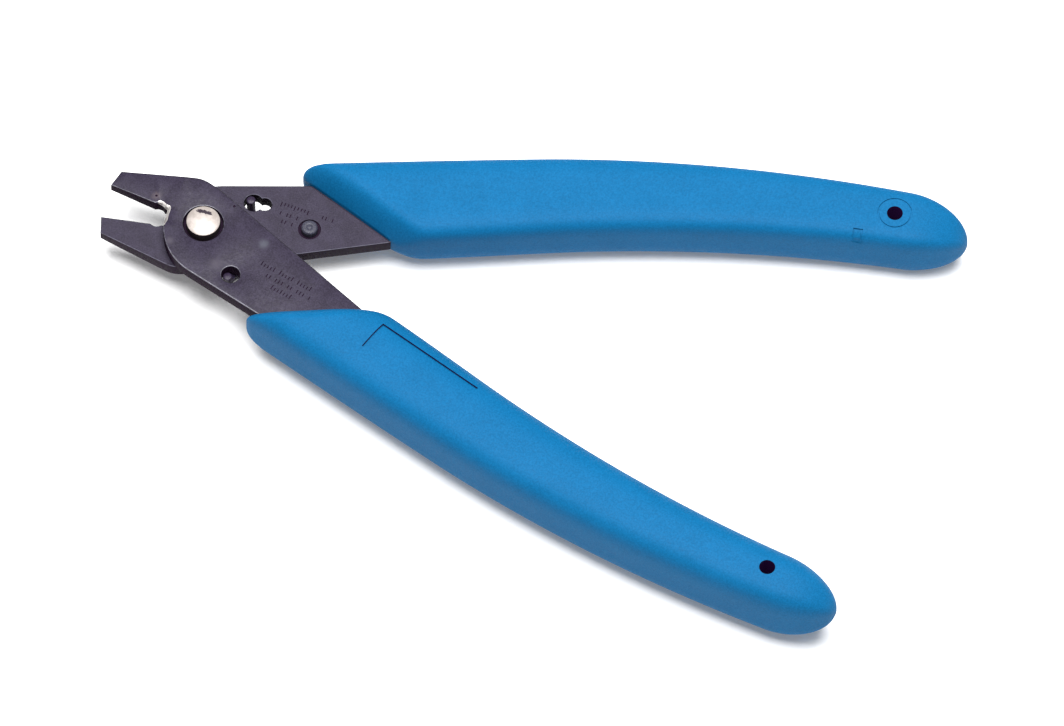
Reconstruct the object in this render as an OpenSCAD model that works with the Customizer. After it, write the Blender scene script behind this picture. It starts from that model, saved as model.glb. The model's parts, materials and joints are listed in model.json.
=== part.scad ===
// Sprue nippers: two flat blades that cross at one pivot, each with a moulded grip on its tang.
// A blade is drawn with its cutting edge along -X and its pivot at the origin, as it lies when
// the jaws are shut, with its sliding face down. The top blade is then turned back by half of the
// opening angle, and the bottom blade is the same stamping turned over about the X axis.

/* [Blades] */
// Thickness of each blade
blade_t = 2.6; // [2.2:0.1:3.0]
// Distance from the pivot to the tip of the jaws
jaw_length = 17.6; // [15:0.1:20]
// Width of each jaw at its tip
jaw_tip_w = 3.1; // [2:0.1:4]
// Thickness of each jaw at its tip
jaw_tip_t = 1.95; // [1.4:0.05:2.2]
// Angle between the cutting edges with the spring relaxed
open_angle = 17.6; // [12:0.2:20]
// Extra travel in degrees by which the cutting edges pass each other
overlap_angle = 0.6; // [0:0.1:1]
// Gap between the blades' sliding faces
slide_gap = 0.04; // [0.02:0.01:0.1]
// Width of the tang where it leaves the blade
tang_w = 9.2; // [8:0.1:9.6]
// Width of the tang at its end
tang_end_w = 6.4; // [5:0.1:7]

/* [Pivot] */
// Diameter of the bolt's domed head
head_d = 5.8; // [5:0.1:6.4]
// Diameter of the counterbore around the head
counterbore_d = 6.9; // [6.6:0.1:7.6]
// Depth of the counterbore
counterbore_depth = 1.0; // [0.6:0.1:1.4]
// Height of the head's rim above the blade
head_proud = 0.8; // [0.3:0.05:1]
// Height of the dome above the head's rim
dome_h = 0.45; // [0.2:0.05:0.8]
// Diameter of the bolt's shoulder, which the top blade turns on
shoulder_d = 4.4; // [4.2:0.1:4.6]
// Diameter of the bolt's thread
thread_d = 4; // [3.6:0.1:4]
// Pitch of the thread
thread_pitch = 0.7; // [0.5:0.1:0.8]
// Radial clearance of the shoulder in the top blade
running_clearance = 0.05; // [0.02:0.01:0.1]
// Width of the nut across its flats
nut_af = 7; // [6.4:0.1:7.6]
// Height of the nut
nut_h = 2.1; // [1.6:0.1:2.2]
// Diameter of the washer under the nut
washer_d = 8; // [7.6:0.1:8.4]
// Thickness of the washer
washer_t = 0.5; // [0.3:0.1:0.6]

/* [Stop pin] */
// Diameter of the pin that stops the blades
stop_d = 2.8; // [2.4:0.1:3]
// Height of the pin above the bottom blade
stop_h = 0.9; // [0.6:0.1:1.6]
// Diameter of the shallow ring pressed into the blade around the pin
stop_ring_d = 3.9; // [3.6:0.1:4.4]

/* [Grips] */
// Thickness of a grip
grip_t = 12.9; // [11.5:0.1:14]
// Width of a grip at its widest, near the blades
grip_w = 15.8; // [15:0.1:17]
// Width of a grip near its end
grip_end_w = 11.2; // [10:0.1:13]
// Length of a grip along its middle line
grip_length = 105.5; // [96:1:116]
// Length of the straight stretch at the front of the middle line
grip_straight = 32; // [28:1:36]
// Radius that the rest of the middle line bends to
grip_bend_r = 285; // [220:1:400]
// Diameter of the mould hole near the end of each grip
mould_hole_d = 2.7; // [2:0.1:3.5]

/* [Spring] */
// Diameter of the spring wire
wire_d = 1.5; // [1.2:0.1:1.5]
// Mean radius of the spring's coil
coil_r = 2.8; // [2.6:0.1:2.9]

/* [Hidden] */
$fn = 64;
eps = 0.01;

// ---- Blade outline, with the cutting edge on the X axis ----
crown = [0.3, 6.95];
inner_edge_slope = -17.4;
outer_edge_slope = -9;
shoulder_centre = [3.5, 0.9];
shoulder_r = 10.3;
// The jaw's tip leans back by this much, and its back meets the pivot boss in a blunt hump
tip_lean = 0.4;
hump = [[-5.4, 7.3], [-4.4, 7.6], [-3.4, 7.66], [-2.2, 7.5], [-0.9, 7.22]];
cutting_edge_end = [-6.8, 0];
// Where the inner and outer edges end inside the grip
inner_edge_end_x = 33.5;
outer_edge_end_x = 17.5;

// ---- Middle line of the tang and grip: a straight stretch, then one wide arc ----
mid_start = [23.65, -7.7];
mid_angle = -11.1;
// Where the tang's parallel sides begin, on the inner and outer side, and how far it stops short
tang_inner_s = 16;
tang_outer_s = 8;
tang_end_gap = 9.5;
tang_corner = 2.2;
tang_step = 8;

// ---- Holes ----
spring_hole = [8.65, -6.8];
spring_hole_r = 1.6;
keyhole_big_r = 1.65;
keyhole_small_r = 1.25;
keyhole_big_dx = -1.15;
keyhole_small_dx = 0.75;
stop_x = 17.7;
stop_ring_depth = 0.3;
fit_gap = 0.02;
thread_gap = 0.05;

// ---- Grip shape ----
grip_sides = 28;
// Powers that round the section: 1 is an ellipse, and a smaller power is squarer
face_inner_power = 0.83;
face_outer_power = 0.56;
slide_side_power = 0.385;
// How far the front leans back across the grip, and how much more so at its outer side
front_slant = 1.12;
outer_slant = 1.05;
slant_fade = 36;
nose_outer_inset = 2.2;
nose_inner_inset = 1.2;
nose_top_inset = 4.3;
nose_top_power = 1.6;
nose_top_length = 5;
nose_length = 3.5;
nose_steps = 6;
body_steps = 22;
end_length = 10.5;
end_steps = 7;
// How round the end is across the grip and through its thickness: 2 is an ellipse
end_power_w = 1.85;
end_power_h = 2;
// The last station stops just short of the very tip, which a small flat closes
end_turn = 86;
// The width fades from one value to the other along this length
width_fade = 150;
width_fade_start = 0.02;
width_fade_gain = 1.42;
mould_hole_from_end = 12.7;

function turned(p, a) = [p[0] * cos(a) - p[1] * sin(a), p[0] * sin(a) + p[1] * cos(a)];
function smooth(u) = let (c = min(1, max(0, u))) c * c * (3 - 2 * c);
function mix(a, b, u) = a + (b - a) * u;
function signed_pow(x, e) = sign(x) * pow(abs(x), e);

// Heading and place of the middle line at a distance s along it
function mid_heading(s) =
    mid_angle + max(0, s - grip_straight) / grip_bend_r * 180 / PI;
function mid_point(s) =
    let (straight = min(s, grip_straight), h = mid_heading(s))
    mid_start + straight * [cos(mid_angle), sin(mid_angle)]
    + grip_bend_r * [sin(h) - sin(mid_angle), cos(mid_angle) - cos(h)];
function beside(s, v) = mid_point(s) + v * [-sin(mid_heading(s)), cos(mid_heading(s))];

// An edge's height at x, from a point on it and its slope in degrees
function edge_y(from, slope, x) = from[1] + (x - from[0]) * tan(slope);

function tang_half(s) = mix(tang_w, tang_end_w, s / grip_length) / 2;
tang_end_s = grip_length - tang_end_gap;
shoulder_end_angle = 270 + outer_edge_slope;
shoulder_start_angle = 190;
shoulder_end = shoulder_centre + shoulder_r * [cos(shoulder_end_angle), sin(shoulder_end_angle)];
jaw_tip = [-jaw_length, 0];
jaw_tip_back = [-jaw_length + tip_lean, jaw_tip_w];
blade_outline = concat(
    [jaw_tip, jaw_tip_back], hump,
    [crown, [inner_edge_end_x, edge_y(crown, inner_edge_slope, inner_edge_end_x)]],
    [for (s = [tang_inner_s : tang_step : tang_end_s - tang_corner]) beside(s, tang_half(s))],
    [beside(tang_end_s - tang_corner, tang_half(tang_end_s)),
     beside(tang_end_s, tang_half(tang_end_s) - tang_corner),
     beside(tang_end_s, tang_corner - tang_half(tang_end_s)),
     beside(tang_end_s - tang_corner, -tang_half(tang_end_s))],
    [for (i = [floor((tang_end_s - tang_corner - tang_outer_s) / tang_step) : -1 : 0])
        let (s = tang_outer_s + i * tang_step) beside(s, -tang_half(s))],
    [[outer_edge_end_x, edge_y(shoulder_end, outer_edge_slope, outer_edge_end_x)]],
    [for (a = [shoulder_end_angle : -5 : shoulder_start_angle])
        shoulder_centre + shoulder_r * [cos(a), sin(a)]],
    [cutting_edge_end]);

// ---- Grip sections ----
// Half-width on the inner (+) or outer (-) side, and half-height, at a distance s from the front
function full_half_w(s) =
    mix(grip_w, grip_end_w, smooth(s / width_fade + width_fade_start) * width_fade_gain) / 2;
function front_inset(s, inset) =
    let (u = min(1, max(0, s / nose_length))) inset * (1 - sqrt(1 - pow(1 - u, 2)));
function front_drop(s) =
    nose_top_inset * pow(1 - min(1, max(0, s / nose_top_length)), nose_top_power);
function end_factor(s, e) =
    let (u = max(0, (s - grip_length + end_length) / end_length)) pow(1 - pow(min(1, u), e), 1 / e);
function half_w(s, inset) = (full_half_w(s) - front_inset(s, inset)) * end_factor(s, end_power_w);
function half_h(s) = (grip_t / 2 - front_drop(s)) * end_factor(s, end_power_h);
function slant(s) = front_slant * (1 - smooth(s / slant_fade));

nose_stations = [for (i = [0 : nose_steps]) nose_length * (1 - cos(i * 90 / nose_steps))];
body_stations = [for (i = [1 : body_steps]) mix(nose_length, grip_length - end_length, i / body_steps)];
end_stations = [for (i = [1 : end_steps]) grip_length - end_length * (1 - sin(i * end_turn / end_steps))];
stations = concat(nose_stations, body_stations, end_stations);

// The power at an angle round the section, where 0 is the inner side and 90 the outer face
function section_power(a) = a > 180 ? slide_side_power : a < 90 ? face_inner_power : face_outer_power;
// The half-step turn of the section makes both faces flat, and this keeps their full height
function flat_face(a) = pow(cos(180 / grip_sides), section_power(a));

function grip_ring(s) = [for (k = [0 : grip_sides - 1])
    let (a = (k + 0.5) * 360 / grip_sides,
         inner = cos(a) > 0,
         rise = signed_pow(sin(a), section_power(a)),
         v = half_w(s, inner ? nose_inner_inset : nose_outer_inset) * signed_pow(cos(a), section_power(a)),
         lean = slant(s) * (inner ? 1 : outer_slant),
         p = beside(s + lean * v, v))
    [p[0], p[1], half_h(s) * rise / flat_face(a)]];

// Points and faces of a solid swept through closed rings of n points each
function sweep_faces(rings, n) = concat(
    [[for (k = [0 : n - 1]) k]],
    [for (i = [0 : rings - 2], k = [0 : n - 1])
        [i * n + k, (i + 1) * n + k, (i + 1) * n + (k + 1) % n, i * n + (k + 1) % n]],
    [[for (k = [n - 1 : -1 : 0]) (rings - 1) * n + k]]);

grip_points = [for (s = stations) each grip_ring(s)];

// ---- Whole object: the origin is below the middle of its box, on what it lies on ----
half_open = open_angle / 2;
x_max = max([for (p = grip_points) turned(p, -half_open)[0]]);
x_min = min(turned(jaw_tip, -half_open)[0], turned(jaw_tip_back, -half_open)[0]);
z_rest = slide_gap / 2 + blade_t / 2 + grip_t / 2;

module in_row() { translate([-(x_max + x_min) / 2, 0, z_rest]) children(); }
module as_top() { in_row() rotate([0, 0, -half_open]) translate([0, 0, slide_gap / 2]) children(); }
module as_bottom() {
    in_row() rotate([180, 0, 0]) rotate([0, 0, -half_open]) translate([0, 0, slide_gap / 2]) children();
}

// ---- Blades ----
taper_start = -6.5;
taper_angle = atan((blade_t - jaw_tip_t) / (jaw_length + taper_start));
throat_r = 1.35;
throat = [-8.2, -1];
bevel = [-7.6, -1.45];
bevel_r_in = 0.85;
bevel_r_out = 1.9;

module blade_blank() {
    difference() {
        linear_extrude(blade_t) polygon(blade_outline);
        // The jaw thins towards its tip
        translate([taper_start, 0, blade_t]) rotate([0, -taper_angle, 0])
            translate([-40, -20, 0]) cube([40, 40, 10]);
        // Relief at the root of the cutting edge, with a wide bevel on the outer face
        translate([throat[0], throat[1], -1]) cylinder(r = throat_r, h = blade_t + 2);
        translate([bevel[0], bevel[1], 0]) cylinder(r1 = bevel_r_in, r2 = bevel_r_out, h = blade_t);
    }
}

module hole(at, r) { translate([at[0], at[1], -1]) cylinder(r = r, h = blade_t + 2); }

module top_blade() {
    color("#4a4552") as_top() difference() {
        blade_blank();
        hole([0, 0], shoulder_d / 2 + running_clearance);
        translate([0, 0, blade_t - counterbore_depth]) cylinder(d = counterbore_d, h = 3);
        hole(spring_hole, spring_hole_r);
    }
}

// The pin stands where the top blade's inner edge meets it at the end of the travel
stop_normal = 90 + inner_edge_slope + overlap_angle;
stop_y = (crown * [cos(90 + inner_edge_slope), sin(90 + inner_edge_slope)] + stop_d / 2
          - stop_x * cos(stop_normal)) / sin(stop_normal);

module bottom_blade() {
    color("#4a4552") as_bottom() difference() {
        blade_blank();
        hole([0, 0], thread_d / 2 + thread_gap);
        hole(spring_hole + [keyhole_big_dx, 0], keyhole_big_r);
        hole(spring_hole + [keyhole_small_dx, 0], keyhole_small_r);
        // This blade is drawn turned over, so the pin's place is mirrored
        hole([stop_x, -stop_y], stop_d / 2 + fit_gap);
        translate([stop_x, -stop_y, -eps]) cylinder(d = stop_ring_d, h = stop_ring_depth + eps);
    }
}

// ---- Grips ----
module grip() {
    difference() {
        translate([0, 0, blade_t / 2])
            polyhedron(grip_points, sweep_faces(len(stations), grip_sides), convexity = 6);
        linear_extrude(blade_t) polygon(blade_outline);
        translate(concat(mid_point(grip_length - mould_hole_from_end), -grip_t))
            cylinder(d = mould_hole_d, h = 3 * grip_t);
    }
}

module top_blade_grip() { color("#1d7fc4") as_top() grip(); }
module bottom_blade_grip() { color("#1d7fc4") as_bottom() grip(); }

// ---- Pivot ----
outer_face = slide_gap / 2 + blade_t;
head_under = outer_face - counterbore_depth + running_clearance;
head_rim = outer_face + head_proud;
dome_r = (pow(head_d / 2, 2) + pow(dome_h, 2)) / (2 * dome_h);
nut_bottom = -outer_face - washer_t - nut_h;
// How far the bolt's end stands out of the nut, and where the first turn of its thread starts
bolt_out = 0.6;
thread_lead = 0.1;
bolt_end = nut_bottom - bolt_out;
thread_depth = 0.35;
thread_turns = floor((-slide_gap / 2 - bolt_end) / thread_pitch);
dome_steps = 8;

module pivot_bolt() {
    color("#e8e4df") in_row() rotate_extrude() polygon(concat(
        [[0, bolt_end], [thread_d / 2 - thread_depth, bolt_end]],
        [for (i = [0 : thread_turns - 1]) let (z = bolt_end + thread_lead + i * thread_pitch)
            each [[thread_d / 2 - thread_depth, z], [thread_d / 2, z + thread_pitch * 0.4],
                  [thread_d / 2, z + thread_pitch * 0.6]]],
        [[thread_d / 2, -slide_gap / 2], [shoulder_d / 2, -slide_gap / 2], [shoulder_d / 2, head_under],
         [head_d / 2, head_under], [head_d / 2, head_rim]],
        [for (i = [1 : dome_steps]) let (x = head_d / 2 * (1 - i / dome_steps))
            [x, head_rim + dome_h - dome_r + sqrt(dome_r * dome_r - x * x)]]));
}

module pivot_washer() {
    color("#8d8d92") in_row() translate([0, 0, -outer_face - washer_t]) difference() {
        cylinder(d = washer_d, h = washer_t);
        translate([0, 0, -1]) cylinder(r = thread_d / 2 + 2 * thread_gap, h = washer_t + 2);
    }
}

// The nut's lower corners are turned off by a cone that starts inside the flats
nut_cone_h = 0.5;
nut_cone_in = 0.2;
nut_round_over = 1.4;

module pivot_nut() {
    color("#5b5a60") in_row() translate([0, 0, nut_bottom]) difference() {
        intersection() {
            cylinder(d = nut_af / cos(30), h = nut_h, $fn = 6);
            union() {
                cylinder(d1 = nut_af - nut_cone_in, d2 = nut_af + nut_round_over, h = nut_cone_h);
                translate([0, 0, nut_cone_h]) cylinder(d = nut_af + nut_round_over, h = nut_h - nut_cone_h);
            }
        }
        translate([0, 0, -1]) cylinder(r = thread_d / 2 + thread_gap, h = nut_h + 2);
    }
}

// ---- Stop pin: pressed through the bottom blade, with a domed top ----
stop_place = turned([stop_x, stop_y], half_open);
stop_chamfer = 0.2;
// Steps in and down of the rounded edge around the pin's top
stop_edge = [[0, 0.35], [0.1, 0.15], [0.35, 0.02], [0.6, 0]];
module stop_pin() {
    color("#6a6672") in_row() translate([stop_place[0], stop_place[1], 0]) rotate_extrude() polygon(concat(
        [[0, -outer_face], [stop_d / 2 - stop_chamfer, -outer_face],
         [stop_d / 2, -outer_face + stop_chamfer]],
        [for (e = stop_edge) [stop_d / 2 - e[0], stop_h - e[1]]],
        [[0, stop_h]]));
}

// ---- Return spring: a single-coil hairpin with both ends turned up into the blades ----
// Each upturned end leans on the wall of its hole, this far off the hole's centre
keyhole_end_offset = [-0.55, 0.55];
round_end_offset = [-0.7, 0.2];
keyhole_end = turned([spring_hole[0] + keyhole_big_dx, -spring_hole[1]] + keyhole_end_offset, half_open);
round_end = turned(spring_hole + round_end_offset, -half_open);
// Heights of the two ends, and of the bends that lead into them
keyhole_end_z = -0.15;
keyhole_bend_z = -1.8;
round_end_z = outer_face - 1.5;
round_bend_z = -1.1;
leg_angle = 72;
coil_gap = 0.12;
coil_x = (keyhole_end[0] + round_end[0]) / 2
    + (keyhole_end[1] - round_end[1]) / 2 / tan(leg_angle) + coil_r / sin(leg_angle);
coil_top = -outer_face - coil_gap - wire_d / 2;
coil_pitch = 1.12;
coil_drop = wire_d * coil_pitch;
// The angles around the coil's centre at which it meets the two legs
coil_from = 90 + leg_angle + 36;
coil_to = 360 + 90 + leg_angle;
coil_steps = 18;
coil_points = [for (i = [0 : coil_steps]) let (a = mix(coil_from, coil_to, i / coil_steps))
    [coil_x + coil_r * cos(a), coil_r * sin(a), coil_top - coil_drop * smooth(i / coil_steps)]];

// Cuts every corner of a path, so that repeated use rounds its bends
function corners_cut(p) = concat([p[0]],
    [for (i = [0 : len(p) - 2]) each [mix(p[i], p[i + 1], 0.25), mix(p[i], p[i + 1], 0.75)]],
    [p[len(p) - 1]]);
function rounded(p, times) = times == 0 ? p : rounded(corners_cut(p), times - 1);
function unit(v) = v / norm(v);

function raised(p, z) = [p[0], p[1], z];

keyhole_corner = raised(keyhole_end, coil_top);
keyhole_leg = rounded([
    raised(keyhole_end, keyhole_end_z), raised(keyhole_end, keyhole_bend_z), keyhole_corner,
    mix(keyhole_corner, coil_points[0], 0.2), mix(keyhole_corner, coil_points[0], 0.9)], 2);
// This leg leaves the coil's lower end, climbs past the bottom blade's edge and turns up into its hole
coil_exit = coil_points[coil_steps];
round_leg = rounded([
    mix(coil_exit, raised(round_end, coil_exit[2]), 0.08),
    mix(coil_exit, raised(round_end, coil_exit[2]), 0.42),
    mix(raised(coil_exit, round_bend_z), raised(round_end, round_bend_z), 0.82),
    raised(round_end, round_bend_z + 0.3), raised(round_end, round_bend_z + 1.3),
    raised(round_end, round_end_z)], 2);
spring_path = concat(keyhole_leg, coil_points, round_leg);
wire_sides = 10;

function path_dir(p, i) = unit(p[min(i + 1, len(p) - 1)] - p[max(i - 1, 0)]);
// Carries one sideways vector along a path without letting it twist
function carried(p, first) = [for (i = 0, n = first; i < len(p);
    i = i + 1, n = i < len(p) ? unit(n - (n * path_dir(p, i)) * path_dir(p, i)) : n) n];

module wire(path, d) {
    side = carried(path, [1, 0, 0]);
    polyhedron([for (i = [0 : len(path) - 1], k = [0 : wire_sides - 1])
            let (a = -k * 360 / wire_sides, other = cross(path_dir(path, i), side[i]))
            path[i] + d / 2 * (cos(a) * side[i] + sin(a) * other)],
        sweep_faces(len(path), wire_sides), convexity = 6);
}

module return_spring() { color("#3c3a40") in_row() wire(spring_path, wire_d); }

top_blade();
bottom_blade();
top_blade_grip();
bottom_blade_grip();
pivot_bolt();
pivot_washer();
pivot_nut();
stop_pin();
return_spring();
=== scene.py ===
"""Looks for the sprue nippers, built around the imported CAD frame.

Lengths are written in millimetres and turned into metres when a mesh is made. A blade is drawn as it
lies when the jaws are shut: cutting edge along -X, pivot at the origin, sliding face at z = 0. The two
halves are the same shape, the bottom one turned over, and stand half of the opening angle apart.
"""

import json
import math

import bmesh
import bpy
from mathutils import Matrix, Vector


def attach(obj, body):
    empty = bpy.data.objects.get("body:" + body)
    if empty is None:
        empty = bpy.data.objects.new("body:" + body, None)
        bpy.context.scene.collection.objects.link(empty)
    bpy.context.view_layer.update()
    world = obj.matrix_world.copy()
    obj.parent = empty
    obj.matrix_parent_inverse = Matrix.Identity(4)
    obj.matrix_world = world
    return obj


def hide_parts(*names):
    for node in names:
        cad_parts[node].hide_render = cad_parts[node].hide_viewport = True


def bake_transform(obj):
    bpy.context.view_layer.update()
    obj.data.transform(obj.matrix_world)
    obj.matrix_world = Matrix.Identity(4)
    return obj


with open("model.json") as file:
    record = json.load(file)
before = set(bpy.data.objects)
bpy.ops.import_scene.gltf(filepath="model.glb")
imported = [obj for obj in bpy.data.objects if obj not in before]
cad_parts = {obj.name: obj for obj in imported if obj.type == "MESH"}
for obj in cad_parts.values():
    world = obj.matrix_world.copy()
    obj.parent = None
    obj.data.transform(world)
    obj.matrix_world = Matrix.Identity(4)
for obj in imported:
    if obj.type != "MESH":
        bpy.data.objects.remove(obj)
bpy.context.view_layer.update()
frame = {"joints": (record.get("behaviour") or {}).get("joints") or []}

MM = 0.001
MERGE = 1e-5
PIVOT = Vector(frame["joints"][0]["pos_m"])
HALF_OPEN_DEG = 8.8
HALF_OPEN = math.radians(HALF_OPEN_DEG)
SLIDE_GAP = 0.04
BLADE_T = 2.6
# The outer face of a blade, measured from the plane between the two
OUTER = SLIDE_GAP / 2 + BLADE_T

PIVOT_FRAME = Matrix.Translation(PIVOT) @ Matrix.Scale(MM, 4)
TOP = Matrix.Translation(PIVOT) @ Matrix.Rotation(-HALF_OPEN, 4, "Z") @ Matrix.Scale(MM, 4) \
    @ Matrix.Translation((0, 0, SLIDE_GAP / 2))
BOTTOM = Matrix.Translation(PIVOT) @ Matrix.Rotation(math.pi, 4, "X") \
    @ Matrix.Rotation(-HALF_OPEN, 4, "Z") @ Matrix.Scale(MM, 4) @ Matrix.Translation((0, 0, SLIDE_GAP / 2))
# A fixed level direction, within a degree of the way the main camera looks. The worn rims get a painted
# highlight where they face against it and painted shade where they face along it, which copies the light of
# one view into the colour.
PAINTED_SHADE_DIRECTION = Vector((-0.29, 0.957, 0))


# ---------------------------------------------------------------- small helpers
def smooth(u):
    c = min(1.0, max(0.0, u))
    return c * c * (3 - 2 * c)


def mix(a, b, u):
    return a + (b - a) * u


def mix2(p, q, u):
    return (mix(p[0], q[0], u), mix(p[1], q[1], u))


def power(x, e):
    return math.copysign(abs(x) ** e, x)


def turned(p, degrees):
    a = math.radians(degrees)
    return (p[0] * math.cos(a) - p[1] * math.sin(a), p[0] * math.sin(a) + p[1] * math.cos(a))


def on_circle(centre, r, degrees):
    a = math.radians(degrees)
    return (centre[0] + r * math.cos(a), centre[1] + r * math.sin(a))


def arc(centre, r, a0, a1, n):
    """n + 1 points of an arc, with angles in degrees."""
    return [on_circle(centre, r, mix(a0, a1, i / n)) for i in range(n + 1)]


def circle(centre, r, z, n):
    return [(x, y, z) for x, y in arc(centre, r, 0, 360, n)[:-1]]


def to_mesh(bm, name):
    mesh = bpy.data.meshes.new(name)
    bm.to_mesh(mesh)
    bm.free()
    return mesh


def show(name, data):
    obj = bpy.data.objects.new(name, data)
    bpy.context.scene.collection.objects.link(obj)
    return obj


def keep_drawn(mesh):
    """Stores the place where each vertex was drawn, which the materials read."""
    flat = [0.0] * (3 * len(mesh.vertices))
    mesh.vertices.foreach_get("co", flat)
    mesh.attributes.new("drawn", "FLOAT_VECTOR", "POINT").data.foreach_set("vector", flat)


def place(name, mesh, to_row, materials, body, nodes):
    """Puts a mesh drawn in millimetres in its place and hangs it on its body."""
    keep_drawn(mesh)
    mesh.transform(to_row)
    # Each vertex's facing along the fixed level direction, which the rim material turns into painted shade
    # and painted highlight
    painted_shade_facing = mesh.attributes.new("painted_shade_facing", "FLOAT", "POINT")
    for i, v in enumerate(mesh.vertex_normals):
        painted_shade_facing.data[i].value = v.vector.dot(PAINTED_SHADE_DIRECTION)
    if not mesh.materials:
        for m in materials:
            mesh.materials.append(m)
    obj = show(name, mesh)
    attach(obj, body)
    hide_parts(*nodes)


def sharpen(bm, degrees):
    """Smooth faces, with edges sharper than this marked."""
    limit = math.radians(degrees)
    for f in bm.faces:
        f.smooth = True
    for e in bm.edges:
        if len(e.link_faces) == 2 and e.calc_face_angle(0) > limit:
            e.smooth = False


def loft(bm, rings, caps=True, material=0):
    """Skins closed rings of the same number of points."""
    rows = [[bm.verts.new(p) for p in ring] for ring in rings]
    n = len(rows[0])
    for a, b in zip(rows, rows[1:]):
        for k in range(n):
            f = bm.faces.new((a[k], a[(k + 1) % n], b[(k + 1) % n], b[k]))
            f.material_index = material
    if caps:
        bm.faces.new(rows[0][::-1]).material_index = material
        bm.faces.new(rows[-1]).material_index = material


def lathe(bm, profile, sides=96, centre=(0, 0), material=0):
    """Turns (radius, z) points about a vertical axis. A radius of 0 closes the end."""
    rows = []
    for r, z in profile:
        points = [(*centre, z)] if r <= 0 else circle(centre, r, z, sides)
        rows.append([bm.verts.new(p) for p in points])
    for a, b in zip(rows, rows[1:]):
        for k in range(sides):
            j = (k + 1) % sides
            if len(a) == 1:
                f = bm.faces.new((a[0], b[j], b[k]))
            elif len(b) == 1:
                f = bm.faces.new((a[k], a[j], b[0]))
            else:
                f = bm.faces.new((a[k], a[j], b[j], b[k]))
            f.material_index = material


def scratch(bm):
    """A loose object, used up by a boolean."""
    return show("scratch", to_mesh(bm, "scratch"))


def cutter(bm, merge=False):
    if merge:
        bmesh.ops.remove_doubles(bm, verts=bm.verts, dist=MERGE)
    bmesh.ops.recalc_face_normals(bm, faces=bm.faces)
    return scratch(bm)


def boolean(obj, cutters, materials):
    """Cuts a scratch object and returns its new mesh.

    All of them carry the same materials, so that cut faces keep their own.
    """
    for o in (obj, *cutters):
        for material in materials:
            o.data.materials.append(material)
    for c in cutters:
        m = obj.modifiers.new("cut", "BOOLEAN")
        m.operation, m.solver, m.object = "DIFFERENCE", "EXACT", c
    dg = bpy.context.evaluated_depsgraph_get()
    dg.update()
    mesh = bpy.data.meshes.new_from_object(obj.evaluated_get(dg))
    for o in (obj, *cutters):
        bpy.data.objects.remove(o)
    return mesh


# ---------------------------------------------------------------- materials
class Nodes:
    """A short way to write a procedural material, with places in millimetres as drawn."""

    def __init__(self, name):
        self.material = bpy.data.materials.new(name)
        self.material.use_nodes = True
        self.tree = self.material.node_tree
        self.tree.nodes.clear()
        out = self.add("ShaderNodeOutputMaterial")
        self.shader = self.add("ShaderNodeBsdfPrincipled")
        self.link(self.shader.outputs[0], out.inputs[0])
        drawn = self.add("ShaderNodeAttribute")
        drawn.attribute_name = "drawn"
        self.place = drawn.outputs["Vector"]

    def add(self, kind, **values):
        n = self.tree.nodes.new(kind)
        for k, v in values.items():
            setattr(n, k, v)
        return n

    def link(self, a, b):
        self.tree.links.new(a, b)

    def set(self, **values):
        for k, v in values.items():
            self.shader.inputs[k.replace("_", " ")].default_value = v

    def wire(self, name, output):
        self.link(output, self.shader.inputs[name])

    def noise(self, scale, detail=3.0, roughness=0.55, stretch=None, distortion=0.0):
        n = self.add("ShaderNodeTexNoise")
        n.inputs["Scale"].default_value = scale
        n.inputs["Detail"].default_value = detail
        n.inputs["Roughness"].default_value = roughness
        n.inputs["Distortion"].default_value = distortion
        self.link(self.scaled(stretch) if stretch else self.place, n.inputs["Vector"])
        return n.outputs["Fac"]

    def scaled(self, factors, turn=0.0):
        m = self.add("ShaderNodeMapping")
        m.inputs["Scale"].default_value = factors
        m.inputs["Rotation"].default_value = (0, 0, math.radians(turn))
        self.link(self.place, m.inputs["Vector"])
        return m.outputs["Vector"]

    def math(self, operation, a, b=None):
        n = self.add("ShaderNodeMath", operation=operation)
        for socket, v in zip(n.inputs, (a, b)):
            if v is None:
                continue
            if isinstance(v, (int, float)):
                socket.default_value = v
            else:
                self.link(v, socket)
        return n.outputs[0]

    def ramp(self, value, low, high, to_low=0.0, to_high=1.0):
        n = self.add("ShaderNodeMapRange", interpolation_type="SMOOTHSTEP")
        n.inputs["From Min"].default_value, n.inputs["From Max"].default_value = low, high
        n.inputs["To Min"].default_value, n.inputs["To Max"].default_value = to_low, to_high
        self.link(value, n.inputs["Value"])
        return n.outputs[0]

    def colour(self, factor, a, b):
        n = self.add("ShaderNodeMix", data_type="RGBA")
        self.link(factor, n.inputs["Factor"])
        for socket, v in ((n.inputs[6], a), (n.inputs[7], b)):
            if isinstance(v, tuple):
                socket.default_value = (*v, 1)
            else:
                self.link(v, socket)
        return n.outputs[2]

    def distance(self, point, at=None):
        """Distance from a point, across the drawn plane only when it has two numbers."""
        at = self.place if at is None else at
        if len(point) == 2:
            flat = self.add("ShaderNodeVectorMath", operation="MULTIPLY")
            flat.inputs[1].default_value = (1, 1, 0)
            self.link(at, flat.inputs[0])
            at, point = flat.outputs[0], (*point, 0)
        n = self.add("ShaderNodeVectorMath", operation="DISTANCE")
        n.inputs[1].default_value = point
        self.link(at, n.inputs[0])
        return n.outputs["Value"]

    def bump(self, height, distance):
        n = self.add("ShaderNodeBump")
        n.inputs["Distance"].default_value = distance * MM
        n.inputs["Strength"].default_value = 1.0
        self.link(height, n.inputs["Height"])
        self.link(n.outputs[0], self.shader.inputs["Normal"])


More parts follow.
